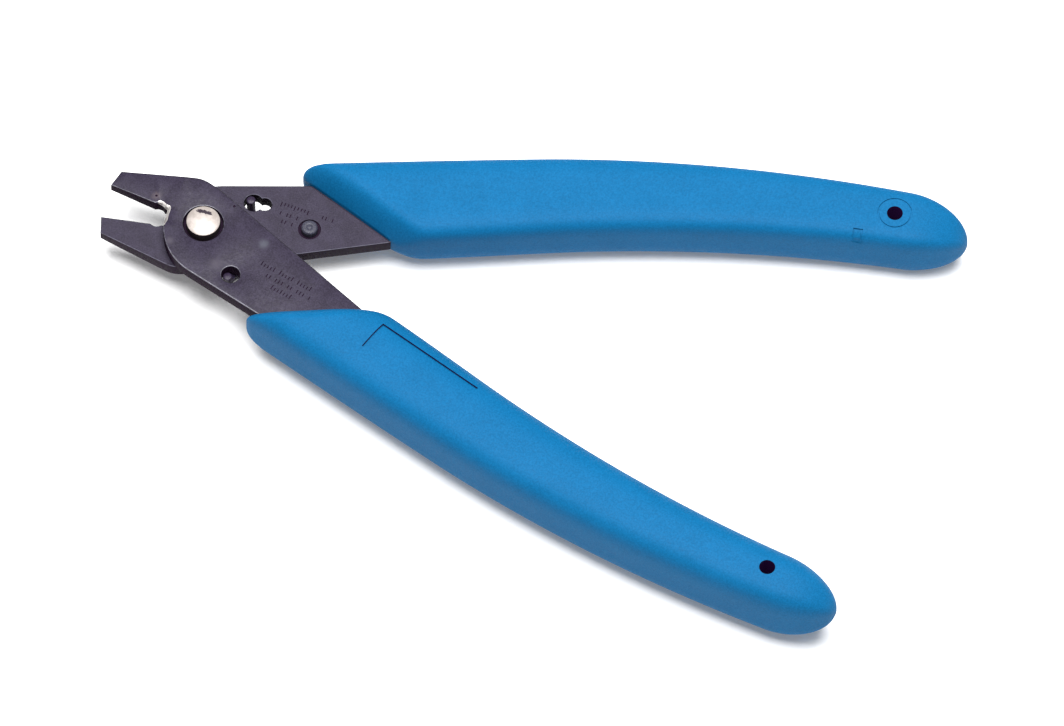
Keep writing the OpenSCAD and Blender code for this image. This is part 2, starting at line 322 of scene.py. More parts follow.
def oxide_steel(name, dark, light, rough, bump=0.012, marks=()):
    """Blued or blackened sheet steel: cloudy, finely pitted, with marked places, paler where rubbed and
    darker where a mark paints shade.
    """
    m = Nodes(name)
    cloud = m.ramp(m.noise(0.3, 5.0, 0.65, distortion=0.6), 0.34, 0.7)
    fine = m.ramp(m.noise(4.5, 5.0, 0.7), 0.32, 0.7)
    blend = m.math("ADD", m.math("MULTIPLY", cloud, 0.3), m.math("MULTIPLY", fine, 0.7))
    shade = m.colour(blend, dark, light)
    for point, radius, colour, strength in marks:
        ragged = m.math("ADD", m.distance(point), m.math("MULTIPLY", fine, radius * 0.5))
        near = m.ramp(ragged, radius * 0.35, radius * 1.2, strength, 0.0)
        shade = m.colour(near, shade, colour)
    m.wire("Base Color", shade)
    m.set(Metallic=0.0, Specular_IOR_Level=0.15)
    m.wire("Roughness", m.ramp(m.noise(2.2, 4.0), 0.3, 0.7, rough - 0.07, rough + 0.1))
    m.bump(m.math("ADD", m.noise(9.0, 4.0), m.math("MULTIPLY", m.noise(1.3, 2.0), 0.8)), bump)
    return m.material


def worn_and_painted_light_edge(name, dark, pale):
    """The rubbed rim of a stamping: bare steel through the oxide in patches, with painted light in their
    number: fewer where the rim faces along the fixed level direction, as painted shade, and more where it
    faces against it, as a painted highlight.
    """
    m = Nodes(name)
    painted_shade_facing = m.add("ShaderNodeAttribute")
    painted_shade_facing.attribute_name = "painted_shade_facing"
    # Rims that face along the fixed level direction lose pale patches: painted shade, and a painted highlight
    # on the others
    painted_shade = m.math("MULTIPLY", painted_shade_facing.outputs["Fac"], -0.4)
    patch = m.ramp(m.math("ADD", m.noise(1.1, 5.0, 0.7), painted_shade), 0.42, 0.75)
    m.wire("Base Color", m.colour(patch, dark, pale))
    m.set(Metallic=0.0, Specular_IOR_Level=0.5)
    m.wire("Roughness", m.ramp(m.noise(4.0, 3.0), 0.3, 0.7, 0.28, 0.46))
    m.bump(m.noise(8.0, 3.0), 0.01)
    return m.material


def sheared_wall_and_painted_shade(name, dark, light):
    """The sheared side of a stamping, with fine lines through its thickness, darker than the faces as painted
    shade; it also paints shade into holes, pits, the counterbore and stamped marks.
    """
    m = Nodes(name)
    lines = m.noise(3.5, 3.0, 0.6, stretch=(1.6, 1.6, 0.25))
    m.wire("Base Color", m.colour(m.ramp(lines, 0.35, 0.7), dark, light))
    m.set(Specular_IOR_Level=0.05)
    m.wire("Roughness", m.ramp(lines, 0.3, 0.7, 0.5, 0.72))
    m.bump(lines, 0.03)
    return m.material


def bright_metal(name, dark, light, rough, metallic, scratches, turn_lines=None, painted_reflection=None):
    """Bare or plated metal with fine tool marks and light tarnish, and perhaps one dark painted reflection.
    """
    m = Nodes(name)
    cloud = m.ramp(m.noise(0.9, 4.0, 0.6), 0.35, 0.65)
    shade = m.colour(cloud, dark, light)
    if painted_reflection:
        # A dark streak laid on the colour: a painted reflection
        point, along, across, turn, colour = painted_reflection
        at = m.scaled((1 / along, 1 / across, 1), turn)
        centre = turned((point[0] / along, point[1] / across), turn)
        uneven = m.math("MULTIPLY", m.math("SUBTRACT", m.noise(2.2, 3.0), 0.5), 1.6)
        torn = m.math("ADD", m.distance(centre, at), uneven)
        shade = m.colour(m.ramp(torn, 0.75, 1.0, 1.0, 0.0), shade, colour)
    m.wire("Base Color", shade)
    m.set(Metallic=metallic)
    m.wire("Roughness", m.ramp(m.noise(3.0, 4.0), 0.3, 0.7, rough - 0.04, rough + 0.08))
    height = m.noise(6.0, 4.0)
    if turn_lines:
        height = m.math("ADD", height, m.math("SINE", m.math("MULTIPLY", m.distance(turn_lines), 22.0)))
    m.bump(height, scratches)
    return m.material


def grip_vinyl(name, deep, pale):
    """Soft moulded vinyl: matte, with a fine grain and faint cloudiness."""
    m = Nodes(name)
    grain = m.math("MULTIPLY", m.ramp(m.noise(3.4, 4.0, 0.7), 0.3, 0.7), 0.85)
    cloud = m.math("MULTIPLY", m.ramp(m.noise(0.16, 3.0, 0.5), 0.3, 0.7), 0.15)
    m.wire("Base Color", m.colour(m.math("ADD", grain, cloud), deep, pale))
    m.set(Specular_IOR_Level=0.07)
    m.wire("Roughness", m.ramp(m.noise(3.0, 3.0), 0.3, 0.7, 0.5, 0.62))
    m.bump(m.math("ADD", m.noise(11.0, 3.0), m.math("MULTIPLY", m.noise(2.5, 2.0), 0.5)), 0.02)
    return m.material


STEEL_DARK, STEEL_LIGHT = (0.0105, 0.0072, 0.0158), (0.038, 0.031, 0.056)
STEEL_PALE = (0.0962, 0.074, 0.0814)
# The centre-punch pit on the jaw, with a dark dot of painted shade at its mouth, and the places on the outer
# face that rubbing has made paler
PUNCH = (-9.6, 1.3)
RUBBED_AND_PAINTED_SHADE = [((*PUNCH, BLADE_T - 0.15), 1.2, STEEL_PALE, 0.55),
          # A dark dot at the pit: painted shade
          ((*PUNCH, BLADE_T - 0.15), 0.26, (0.01, 0.008, 0.012), 1.0),
          ((11.0, 1.0, BLADE_T), 1.3, (0.075, 0.08, 0.10), 0.6),
          ((5.6, -6.0, BLADE_T), 1.6, (0.08, 0.07, 0.09), 0.4),
          ((-3.6, -5.6, BLADE_T), 1.1, (0.09, 0.08, 0.10), 0.4)]
steel_top = oxide_steel("oxide_steel_top", STEEL_DARK, STEEL_LIGHT, 0.47, marks=RUBBED_AND_PAINTED_SHADE)
steel_bottom = oxide_steel("oxide_steel_bottom", STEEL_DARK, STEEL_LIGHT, 0.47)
# The rims: worn patches, with painted highlight and painted shade by the way each rim faces
steel_edge = worn_and_painted_light_edge("worn_and_painted_light_edge", (0.006, 0.0045, 0.008), (0.10, 0.095, 0.13))
steel_wall = sheared_wall_and_painted_shade("sheared_wall_and_painted_shade", (0.007, 0.003, 0.009), (0.018, 0.0075, 0.021))
ground = bright_metal("ground_bevel", (0.30, 0.28, 0.27), (0.7, 0.66, 0.64), 0.36, 0.6, 0.003)
# The painted reflection, a dark streak on the polished dome, is (centre, half length, half width, turn,
# colour)
polished = bright_metal("polished_head", (0.33, 0.29, 0.265), (0.42, 0.375, 0.35), 0.38, 0.25, 0.002,
                        turn_lines=(0, 0), painted_reflection=((-0.4, 1.55), 1.7, 0.42, 12, (0.03, 0.02, 0.03)))
plated = bright_metal("plated_fastener", (0.05, 0.047, 0.05), (0.12, 0.115, 0.125), 0.36, 0.6, 0.02)
# Dark steel below the dome's edge: painted shade in the counterbore gap round the head
head_side = oxide_steel("head_side", (0.012, 0.009, 0.013), (0.05, 0.04, 0.04), 0.4)
pin_steel = oxide_steel("pin_steel", (0.022, 0.022, 0.032), (0.075, 0.075, 0.105), 0.3, bump=0.02)
wire_steel = oxide_steel("spring_wire", (0.013, 0.008, 0.021), (0.033, 0.024, 0.046), 0.3, bump=0.006)
GRIP_DEEP, GRIP_PALE = (0.0013, 0.080, 0.196), (0.0040, 0.118, 0.282)
vinyl_top = grip_vinyl("grip_vinyl_top", GRIP_DEEP, GRIP_PALE)
vinyl_bottom = grip_vinyl("grip_vinyl_bottom", GRIP_DEEP, GRIP_PALE)
# A dark purple copy of the vinyl: painted shade inside the grips' holes and on the walls of the label panel
hole_painted_shade = grip_vinyl("mould_hole_painted_shade", (0.035, 0.008, 0.070), (0.055, 0.012, 0.100))


# ---------------------------------------------------------------- blade outline
TIP, TIP_BACK = (-17.6, 0.0), (-17.2, 3.1)
JAW_BACK, CROWN = (-5.4, 7.3), (0.3, 6.95)
INNER_SLOPE, OUTER_SLOPE = -17.4, -9.0
SHOULDER, SHOULDER_R = (3.5, 0.9), 10.3
THROAT, THROAT_R = (-8.2, -1.0), 1.35
# The tang's and the grip's middle line, straight at first and then a wide bend
MID_START, MID_ANGLE, GRIP_STRAIGHT, GRIP_BEND_R = (23.65, -7.7), -11.1, 32.0, 285.0
GRIP_LENGTH, GRIP_T, GRIP_W, GRIP_END_W = 105.5, 12.9, 15.8, 11.2
TANG_W, TANG_END_W, TANG_END_S, TANG_CORNER = 9.2, 6.4, 96.0, 2.2
SPRING_HOLE = (8.65, -6.8)
# The keyhole's two circles, by their distance along X from the place of the round hole
KEY_BIG_DX, KEY_BIG_R, KEY_SMALL_DX, KEY_SMALL_R = -1.15, 1.65, 0.75, 1.25
# How far past shut the jaws may turn before the stop pin meets the top blade
OVERLAP_ANGLE = 0.6
STOP_X, STOP_D, STOP_H = 17.7, 2.8, 0.9


def edge_y(start, slope, x):
    return start[1] + (x - start[0]) * math.tan(math.radians(slope))


def mid_heading(s):
    return math.radians(MID_ANGLE) + max(0.0, s - GRIP_STRAIGHT) / GRIP_BEND_R


def mid_point(s):
    a, h, straight = math.radians(MID_ANGLE), mid_heading(s), min(s, GRIP_STRAIGHT)
    return (MID_START[0] + straight * math.cos(a) + GRIP_BEND_R * (math.sin(h) - math.sin(a)),
            MID_START[1] + straight * math.sin(a) + GRIP_BEND_R * (math.cos(a) - math.cos(h)))


def beside(s, v):
    h, p = mid_heading(s), mid_point(s)
    return (p[0] - v * math.sin(h), p[1] + v * math.cos(h))


def tang_half(s):
    return mix(TANG_W, TANG_END_W, s / GRIP_LENGTH) / 2


def crown_curve():
    """The blunt hump of the jaw's back, rounded through the CAD's own points."""
    hard = [JAW_BACK, (-4.4, 7.6), (-3.4, 7.66), (-2.2, 7.5), (-0.9, 7.22), CROWN]
    for _ in range(2):
        soft = [hard[0]]
        for p, q in zip(hard, hard[1:]):
            soft += [mix2(p, q, 0.25), mix2(p, q, 0.75)]
        hard = soft + [hard[-1]]
    return hard


def divided(p, q, step):
    """Points from p towards q, without q, about step apart."""
    n = max(1, round(math.dist(p, q) / step))
    return [mix2(p, q, i / n) for i in range(n)]


# Rims of the outer face as (bevel width, bevel depth)
PLAIN_RIM, KEEN_RIM, THROAT_RIM = (0.16, 0.14), (0.10, 0.08), (0.62, 1.1)


def blade_outline():
    """Points of the sliding face's outline, each with the rim of the outer face beside it."""
    out = []

    def put(points, rim=PLAIN_RIM):
        out.extend((p, rim) for p in points)

    put(divided(TIP, TIP_BACK, 0.8))
    put(divided(TIP_BACK, JAW_BACK, 1.5))
    crown = crown_curve()
    put(crown)
    end = (33.5, edge_y(CROWN, INNER_SLOPE, 33.5))
    put(divided(crown[-1], end, 2.5)[1:])
    put([beside(s, tang_half(s)) for s in range(16, 95, 6)])
    last = tang_half(TANG_END_S)
    put([beside(TANG_END_S - TANG_CORNER, last), beside(TANG_END_S, last - TANG_CORNER),
         beside(TANG_END_S, TANG_CORNER - last), beside(TANG_END_S - TANG_CORNER, -last)])
    put([beside(s, -tang_half(s)) for s in range(92, 7, -6)])
    shoulder_end = on_circle(SHOULDER, SHOULDER_R, 270 + OUTER_SLOPE)
    outer_start = (17.5, edge_y(shoulder_end, OUTER_SLOPE, 17.5))
    put(divided(outer_start, shoulder_end, 2.0))
    # The shoulder, then the throat, where a wide bevel is ground on the outer face
    for i in range(57):
        a = mix(270 + OUTER_SLOPE, 190, i / 56)
        put([on_circle(SHOULDER, SHOULDER_R, a)], mix2(PLAIN_RIM, THROAT_RIM, smooth((206 - a) / 9)))
    put(divided((-6.65, -0.85), (-6.8, -0.12), 0.12)[1:], THROAT_RIM)
    put(arc((-6.92, -0.12), 0.12, 0, 90, 4)[:-1], (0.6, 1.05))
    put(divided((-6.92, 0.0), (-7.293, 0.0), 0.1), (0.5, 0.9))
    rise = math.degrees(math.asin(1 / THROAT_R))
    for i, p in enumerate(arc(THROAT, THROAT_R, rise, 180 - rise, 22)):
        put([p], mix2((0.42, 0.75), (0.12, 0.1), smooth((i - 13) / 9)))
    put(divided((-9.107, 0.0), TIP, 0.7)[1:], KEEN_RIM)
    return out


def offset(points, widths):
    """A clockwise outline moved into the solid by its own width at each point, with mitred corners."""
    longest, n = 2.2, len(points)
    out = []
    for i, p in enumerate(points):
        a, b = points[i - 1], points[(i + 1) % n]
        d1 = Vector((p[0] - a[0], p[1] - a[1])).normalized()
        d2 = Vector((b[0] - p[0], b[1] - p[1])).normalized()
        n1, n2 = Vector((d1.y, -d1.x)), Vector((d2.y, -d2.x))
        m = n1 + n2
        k = m.length_squared
        m = n1 if k < 1e-6 else m * (2 / k)
        if m.length > longest:
            m *= longest / m.length
        out.append((p[0] + m.x * widths[i], p[1] + m.y * widths[i]))
    return out


TIP_T = 1.95
JAW_TAPER_X = -6.5
JAW_TAPER = (BLADE_T - TIP_T) / (JAW_TAPER_X - TIP[0])


def outer_z(x):
    """Height of the outer face: the jaw thins towards its tip."""
    return BLADE_T - max(0.0, JAW_TAPER_X - x) * JAW_TAPER


# Material slots of a blade; the dark steel of the WALL slot is painted shade on the sides and in the hollows
FACE, RIM, WALL, GROUND = 0, 1, 2, 3


def bevelled(loop):
    """Rings of a loop of (point, rim) from the sliding face to the outer face."""
    low_edge, halfway = 0.1, 0.29
    pts = [p for p, _ in loop]
    low = offset(pts, [min(low_edge, w) for _, (w, _) in loop])
    half = offset(pts, [w * halfway for _, (w, _) in loop])
    full = offset(pts, [w for _, (w, _) in loop])
    rings = [[(x, y, 0.0) for x, y in low], [(x, y, 0.08) for x, y in pts],
             [(x, y, outer_z(x) - d) for (x, y), (_, d) in loop],
             [(x, y, outer_z(x) - d * halfway) for (x, y), (_, (_, d)) in zip(half, loop)],
             [(x, y, outer_z(x)) for x, y in full]]
    return rings, [RIM, WALL, RIM, RIM], [w > 0.3 for _, (w, _) in loop]


def bored(centre, profile, materials, n=80):
    """Rings of a round hole whose radius changes with height."""
    return [circle(centre, r, z, n) for r, z in profile], materials, [False] * n


def plate(bm, loops):
    """Skins the outline and the holes, and fills the two flat faces between them.

    The outline runs clockwise and the holes anticlockwise, so the solid is always on the right.
    """
    first, last = [], []
    for rings, materials, ground in loops:
        rows = [[bm.verts.new(q) for q in ring] for ring in rings]
        n = len(rings[0])
        for r, (a, b) in enumerate(zip(rows, rows[1:])):
            for k in range(n):
                j = (k + 1) % n
                f = bm.faces.new((a[k], b[k], b[j], a[j]))
                f.material_index = GROUND if r > 1 and (ground[k] or ground[j]) else materials[r]
                f.smooth = True
        first.append(rows[0])
        last.append(rows[-1])
    for rows, up in ((first, -1), (last, 1)):
        edges = [bm.edges.get(pair) for row in rows for pair in zip(row, row[1:] + row[:1])]
        made = bmesh.ops.triangle_fill(bm, use_beauty=True, use_dissolve=False, edges=edges,
                                       normal=(0, 0, up))
        for f in made["geom"]:
            if isinstance(f, bmesh.types.BMFace):
                f.material_index = FACE
                f.smooth = False
    bmesh.ops.recalc_face_normals(bm, faces=bm.faces)


def keyhole():
    """Two overlapping circles side by side along X, as one anticlockwise loop."""
    big, small = ((SPRING_HOLE[0] + dx, SPRING_HOLE[1]) for dx in (KEY_BIG_DX, KEY_SMALL_DX))
    d = small[0] - big[0]
    x = (d * d + KEY_BIG_R ** 2 - KEY_SMALL_R ** 2) / (2 * d)
    h = math.sqrt(KEY_BIG_R ** 2 - x * x)
    a_big = math.degrees(math.atan2(h, x))
    a_small = math.degrees(math.atan2(h, x - d))
    return [(p, (0.12, 0.1)) for p in arc(big, KEY_BIG_R, a_big, 360 - a_big, 48)
            + arc(small, KEY_SMALL_R, -a_small, a_small, 30)[1:-1]]


def strokes(rows, turn, z_low, z_high):
    """Closed bars for rows of plain tick marks, each row (x, y, lengths)."""
    pitch, thick = 0.6, 0.09
    bm = bmesh.new()
    a = math.radians(turn)
    along, up = Vector((math.cos(a), math.sin(a))), Vector((-math.sin(a), math.cos(a)))
    for x, y, lengths in rows:
        for i, length in enumerate(lengths):
            if not length:
                continue
            c = Vector((x, y)) + along * pitch * i
            left, right = c - along * thick, c + along * thick
            corners = [left, right, right + up * length, left + up * length]
            loft(bm, [[(q.x, q.y, z) for q in corners] for z in (z_low, z_high)], material=WALL)
    return cutter(bm)


def pit(at, r, z_low, z_high):
    bm = bmesh.new()
    # The pit takes the dark wall steel, painted shade inside it
    lathe(bm, [(0, z_low), (r * 0.6, z_low), (r, z_high), (0, z_high)], 24, at, WALL)
    return cutter(bm)


def stop_place():
    """The stop pin's centre in the top blade's drawn frame, as if the jaws were shut."""
    m = math.radians(90 + INNER_SLOPE)
    n = math.radians(90 + INNER_SLOPE + OVERLAP_ANGLE)
    along = CROWN[0] * math.cos(m) + CROWN[1] * math.sin(m) + STOP_D / 2
    return (STOP_X, (along - STOP_X * math.cos(n)) / math.sin(n))


BLADE_MATERIALS = {True: [steel_top, steel_edge, steel_wall, ground],
                   False: [steel_bottom, steel_edge, steel_wall, ground]}
# Rows of plain ticks stand where a maker's stamping would be; their cuts take the dark wall steel as painted
# shade
TALL, LOW = (0.9, 0.6, 0.6, 0.6, 0.9), (0.7, 0.7)
TOP_MARKS = [(12.4, -2.9, (*TALL, 0, *TALL, 0, *TALL)),
             (14.2, -4.6, (*LOW, 0, *LOW, 0.7, 0, *LOW, 0, *LOW, 0.7, 0, 0.7)),
             (16.0, -6.3, (0.9, 0.6, 0.6, 0.9, 0.6, 0.6, 0.9))]
BOTTOM_MARKS = [(12.3, -7.7, (*TALL, 0.6, 0.6, 0.6, 0.9)), (12.4, -5.9, (0.7, 0, *LOW, 0, 0.7)),
                (12.9, -4.3, (*LOW, 0, 0.7)), (19.6, -6.1, (*LOW, 0, 0.7))]
TOP_TURN, BOTTOM_TURN, MARK_DEPTH = -5, 12, 0.07


def blade_mesh(top):
    bm = bmesh.new()
    loops = [bevelled(blade_outline())]
    if top:
        # The bolt's bore and counterbore, then the round hole of the spring; the counterbore's floor and wall
        # take the dark wall steel as painted shade
        floor_z = BLADE_T - 1.0
        profile = [(2.35, 0), (2.25, 0.08), (2.25, floor_z - 0.06), (2.31, floor_z), (3.45, floor_z),
                   (3.45, BLADE_T - 0.12), (3.49, BLADE_T - 0.04), (3.58, BLADE_T)]
        loops.append(bored((0, 0), profile, [RIM, WALL, RIM, WALL, WALL, RIM, RIM], 96))
        profile = [(1.7, 0), (1.6, 0.08), (1.6, BLADE_T - 0.12), (1.64, BLADE_T - 0.04), (1.73, BLADE_T)]
        loops.append(bored(SPRING_HOLE, profile, [RIM, WALL, RIM, RIM]))
    else:
        # The bolt's bore, the keyhole of the spring, and the stop pin's hole in its pressed ring, whose floor
        # and walls take the dark wall steel as painted shade
        profile = [(2.15, 0), (2.05, 0.08), (2.05, BLADE_T - 0.1), (2.15, BLADE_T)]
        loops.append(bored((0, 0), profile, [RIM, WALL, RIM]))
        loops.append(bevelled(keyhole()))
        profile = [(1.95, 0), (1.95, 0.3), (1.42, 0.3), (1.42, BLADE_T - 0.1), (1.52, BLADE_T)]
        loops.append(bored((STOP_X, -stop_place()[1]), profile, [WALL, WALL, WALL, RIM]))
    plate(bm, loops)
    # An edge line where the jaw starts to thin, so that both flats stay flat
    cut = bmesh.ops.bisect_plane(bm, geom=bm.verts[:] + bm.edges[:] + bm.faces[:], dist=MERGE,
                                 plane_co=(JAW_TAPER_X, 0, 0), plane_no=(1, 0, 0))
    for v in cut["geom_cut"]:
        if isinstance(v, bmesh.types.BMVert) and v.co.z > BLADE_T - 0.9 \
                and all(f.material_index == FACE for f in v.link_faces):
            v.co.z = BLADE_T
    base = scratch(bm)
    if top:
        cutters = [strokes(TOP_MARKS, TOP_TURN, BLADE_T - MARK_DEPTH, BLADE_T + 1),
                   pit(PUNCH, 0.27, outer_z(PUNCH[0]) - 0.16, BLADE_T + 0.02),
                   pit((3.2, 5.3), 0.24, BLADE_T - 0.12, BLADE_T + 0.02)]
    else:
        cutters = [strokes(BOTTOM_MARKS, BOTTOM_TURN, -1, MARK_DEPTH)]
    mesh = boolean(base, cutters, BLADE_MATERIALS[top])
    mesh.set_sharp_from_angle(angle=math.radians(38))
    return mesh


place("top_blade_plate", blade_mesh(True), TOP, BLADE_MATERIALS[True],
      "top_half", ["top_blade"])
place("bottom_blade_plate", blade_mesh(False), BOTTOM, BLADE_MATERIALS[False],
      "bottom_half", ["bottom_blade"])


# ---------------------------------------------------------------- grips
# Powers that round the section: 1 is an ellipse, and a smaller power is squarer
FACE_INNER, FACE_OUTER, SLIDE_SIDE = 0.83, 0.56, 0.385
SIDES = 96
# The nose and the rounded end: their lengths, how far they draw in, and the powers of their curves
NOSE, NOSE_INNER, NOSE_OUTER = 3.5, 1.2, 2.2
NOSE_TOP, NOSE_DROP, NOSE_POWER = 5, 4.3, 1.6
END, END_POWER_W, END_POWER_H = 10.5, 1.85, 2.0
# The slant of the front, which fades out along the grip, and how much more the outer side has
SLANT, SLANT_FADE, OUTER_SLANT = 1.12, 36, 1.05
HOLE_R, HOLE_FROM_END = 1.35, 12.7


def section(n):
    """n points evenly spaced round the grip's section, starting at its inner side."""
    fine, m = [], 4000
    for i in range(m + 1):
        a = 2 * math.pi * i / m
        e = SLIDE_SIDE if a > math.pi else FACE_INNER if a < math.pi / 2 else FACE_OUTER
        fine.append((power(math.cos(a), e), power(math.sin(a), e)))
    length = [0.0]
    for p, q in zip(fine, fine[1:]):
        length.append(length[-1] + math.dist(p, q))
    out, j = [], 0
    for k in range(n):
        want = length[-1] * k / n
        while length[j + 1] < want:
            j += 1
        u = (want - length[j]) / max(1e-9, length[j + 1] - length[j])
        out.append(mix2(fine[j], fine[j + 1], u))
    return out


SECTION = section(SIDES)


def full_half_w(s):
    return mix(GRIP_W, GRIP_END_W, smooth(s / 150 + 0.02) * 1.42) / 2 * 0.996


def front_inset(s, inset):
    u = min(1.0, max(0.0, s / NOSE))
    return inset * (1 - math.sqrt(max(0.0, 1 - (1 - u) ** 2)))


def end_factor(s, e):
    u = min(1.0, max(0.0, (s - GRIP_LENGTH + END) / END))
    return max(0.0, 1 - u ** e) ** (1 / e)


def half_w(s, inner):
    return (full_half_w(s) - front_inset(s, NOSE_INNER if inner else NOSE_OUTER)) * end_factor(s, END_POWER_W)


def half_h(s):
    drop = NOSE_DROP * (1 - min(1.0, max(0.0, s / NOSE_TOP))) ** NOSE_POWER
    return (GRIP_T / 2 - drop) * end_factor(s, END_POWER_H)


def slant(s):
    return SLANT * (1 - smooth(s / SLANT_FADE))


def grip_ring(s):
    h = half_h(s)
    out = []
    for cv, cz in SECTION:
        v = half_w(s, cv > 0) * cv
        lean = slant(s) * (1.0 if cv > 0 else OUTER_SLANT)
        out.append((*beside(s + lean * v, v), BLADE_T / 2 + h * cz))
    return out


def skin_z(s, v, side):
    """Height of the grip's skin beside its middle line: side 1 is its outer face, -1 its sliding face."""
    at, inner = s - slant(s) * v, v > 0
    e = SLIDE_SIDE if side < 0 else FACE_INNER if inner else FACE_OUTER
    c = min(1.0, abs(v) / half_w(at, inner))
    return BLADE_T / 2 + side * half_h(at) * (1 - c ** (2 / e)) ** (e / 2)


def grip_body():
    stations = [NOSE * (1 - math.cos(math.radians(i * 90 / 14))) for i in range(15)]
    stations += [mix(NOSE, GRIP_LENGTH - END, i / 78) for i in range(1, 79)]
    stations += [GRIP_LENGTH - END * (1 - math.sin(math.radians(i * 88.5 / 24))) for i in range(1, 25)]
    bm = bmesh.new()
    loft(bm, [grip_ring(s) for s in stations])
    return cutter(bm)


HOLE_AT = mid_point(GRIP_LENGTH - HOLE_FROM_END)


def hole_cutter(z_from, z_to):
    bm = bmesh.new()
    # Its walls and floor take the dark vinyl, painted shade in the hole
    lathe(bm, [(0, z_from), (HOLE_R, z_from), (HOLE_R, z_to), (0, z_to)], 64, HOLE_AT, 1)
    return cutter(bm)


def ring_cutter(inner, outer, z_from, z_to):
    bm = bmesh.new()
    lathe(bm, [(inner, z_from), (outer, z_from), (outer, z_to), (inner, z_to), (inner, z_from)], 64, HOLE_AT)
    return cutter(bm, merge=True)


def panel_cutter(s0, s1, v0, v1, depth):
    """Sinks a plain label panel whose walls are painted dark as shade, and whose floor follows the grip's
    outer face.
    """
    bm, rings, level = bmesh.new(), [], BLADE_T / 2 + GRIP_T / 2 + 1
    for i in range(17):
        s = mix(s0, s1, i / 16)
        across = [mix(v0, v1, k / 10) for k in range(11)]
        low = [(*beside(s, v), skin_z(s, v, 1) - depth) for v in across]
        high = [(*beside(s, v), level) for v in reversed(across)]
        rings.append(low + high)
    loft(bm, rings)
    bmesh.ops.recalc_face_normals(bm, faces=bm.faces)
    for f in bm.faces:
        # Walls take the dark vinyl, painted shade; the floor keeps the grip's own
        f.material_index = 1 if abs(f.normal.z) < 0.5 else 0
    return scratch(bm)


def mark_cutter(s, v, size, line, depth):
    """A small square mould mark, a thin frame whose floor follows the sliding face."""
    bm, n = bmesh.new(), 6
    side = [mix(-1, 1, k / n) for k in range(n)]
    walk = [(a, -1) for a in side] + [(1, a) for a in side]
    walk += [(-a, 1) for a in side] + [(-1, -a) for a in side]

    def ring(r, sunk):
        return [(*beside(s + a * r, v + b * r), skin_z(s + a * r, v + b * r, -1) + sunk) for a, b in walk]

    outer, inner = size / 2, size / 2 - line
    loft(bm, [ring(outer, depth), ring(inner, depth), ring(inner, -1), ring(outer, -1), ring(outer, depth)],
         caps=False)
    return cutter(bm, merge=True)


def make_grip(name, to_row, body, node, vinyl, top):
    mid, reach = BLADE_T / 2, GRIP_T / 2 + 1
    base = grip_body()
    cutters = [hole_cutter(BLADE_T, mid + reach), hole_cutter(mid - reach, 0.0)]
    if top:
        cutters.append(panel_cutter(12.9, 33.1, -1.6, 4.3, 0.55))
    else:
        face = mid - GRIP_T / 2
        cutters.append(ring_cutter(2.62, 2.95, face - 1, face + 0.22))
        cutters.append(mark_cutter(87.1, 4.75, 1.7, 0.32, 0.3))
    mesh = boolean(base, cutters, [vinyl, hole_painted_shade])
    place(name, mesh, to_row, [vinyl, hole_painted_shade], body, [node])
    for f in mesh.polygons:
        f.use_smooth = True
    mesh.set_sharp_from_angle(angle=math.radians(42))


make_grip("top_blade_grip_skin", TOP, "top_half", "top_blade_grip", vinyl_top, True)
make_grip("bottom_blade_grip_skin", BOTTOM, "bottom_half", "bottom_blade_grip", vinyl_bottom, False)


# ---------------------------------------------------------------- pivot and stop pin
WASHER_T, SHANK_END, THREAD_START = 0.5, -5.82, -5.7
THREAD_CORE, THREAD_OUTER, THREAD_PITCH = 1.62, 1.97, 0.7
HEAD_R, HEAD_PROUD, DOME, HEAD_EDGE = 2.9, 0.8, 0.45, 0.16
NUT_LOW, NUT_AF, NUT_BORE = -5.22, 7.0, 2.08


def pivot_piece(name, bm, degrees, materials, nodes):
    """Finishes a piece of the bottom half that is drawn about the pivot."""
    bmesh.ops.recalc_face_normals(bm, faces=bm.faces)
    sharpen(bm, degrees)
    place(name, to_mesh(bm, name), PIVOT_FRAME, materials, "bottom_half", nodes)


def make_bolt():
    bm = bmesh.new()
    rim, under = OUTER + HEAD_PROUD, OUTER - 1.0 + 0.05
    dome_r = (HEAD_R ** 2 + DOME ** 2) / (2 * DOME)
    z = THREAD_START
    profile = [(0, SHANK_END), (1.5, SHANK_END), (THREAD_CORE, z)]
    while z + THREAD_PITCH < -0.1:
        profile += [(THREAD_CORE, z + 0.05), (THREAD_OUTER, z + 0.3), (THREAD_OUTER, z + 0.42),
                    (THREAD_CORE, z + 0.68)]
        z += THREAD_PITCH
    profile += [(1.9, -0.05), (2.2, -0.02), (2.2, under), (HEAD_R - 0.12, under), (HEAD_R, under + 0.12),
                (HEAD_R, rim - HEAD_EDGE)]
    for i in range(1, 6):
        a = math.radians(i * 14)
        profile.append((HEAD_R - HEAD_EDGE * (1 - math.cos(a)), rim - HEAD_EDGE + HEAD_EDGE * math.sin(a)))
    for i in range(1, 13):
        x = (HEAD_R - 0.14) * (1 - i / 12)
        profile.append((x, rim + DOME - dome_r + math.sqrt(dome_r * dome_r - x * x)))
    lathe(bm, profile)
    for f in bm.faces:
        # The dome is polished; everything below its edge is dark steel, which paints shade into the gap round
        # the head in its counterbore
        f.material_index = 0 if f.calc_center_median().z > rim - 0.03 else 1
    pivot_piece("pivot_bolt_domed", bm, 40, [polished, head_side], ["pivot_bolt"])


def make_washer():
    bm = bmesh.new()
    top, low = -OUTER, -OUTER - WASHER_T
    lathe(bm, [(2.1, top), (3.92, top), (4.0, top - 0.06), (4.0, low + 0.1), (3.9, low), (2.2, low),
               (2.1, low + 0.08), (2.1, top)])
    bmesh.ops.remove_doubles(bm, verts=bm.verts, dist=MERGE)
    pivot_piece("pivot_washer_ring", bm, 35, [plated], ["pivot_washer"])


